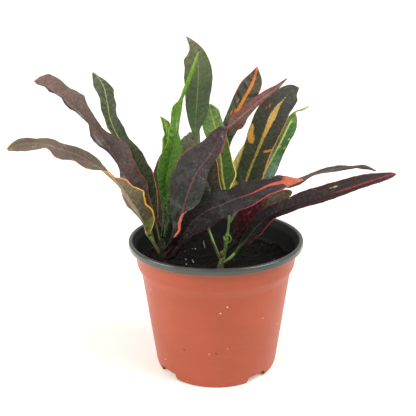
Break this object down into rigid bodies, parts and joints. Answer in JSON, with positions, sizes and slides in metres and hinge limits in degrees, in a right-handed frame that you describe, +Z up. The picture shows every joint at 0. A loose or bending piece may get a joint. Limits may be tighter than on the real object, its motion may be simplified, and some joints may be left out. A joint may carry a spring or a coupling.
{
  "type": "potted croton plant",
  "caption": "Young croton with long wavy variegated leaves, growing from soil in a tapered thin-walled nursery pot with a wide rim.",
  "frame": {"origin": "middle of the pot's underside, on the surface it stands on", "axes": "+Z up; -Y towards the viewer of the picture, the front; +X to the right, along the plant's widest spread"},
  "size_m": [0.3265, 0.155, 0.2913],
  "materials": {
    "pot": "satin terracotta, dark grey rim, black inside",
    "soil": "damp peat with perlite",
    "stem": "green bark",
    "leaf_purple": "glossy",
    "leaf_dark": "glossy",
    "leaf_green": "glossy",
    "leaf_young": "glossy",
    "leaf_variegated": "glossy, orange and gold markings"
  },
  "bodies": {
    "root": {"pot": "pot", "soil": "soil", "stem_left": "stem", "stem_right": "stem", "leaf_far_left": "leaf_purple", "leaf_left": "leaf_purple", "leaf_left_green": "leaf_green", "leaf_rolled": "leaf_purple", "leaf_young_long": "leaf_young", "leaf_young_side": "leaf_young", "leaf_tall": "leaf_green", "leaf_front": "leaf_dark", "leaf_front_low": "leaf_dark", "leaf_right_arch": "leaf_purple", "leaf_right_long": "leaf_dark", "leaf_right_low": "leaf_dark", "leaf_orange_rib": "leaf_variegated", "leaf_green": "leaf_green", "leaf_gold_stripe": "leaf_variegated", "leaf_spotted": "leaf_green", "leaf_back_narrow": "leaf_green"}
  },
  "joints": []
}
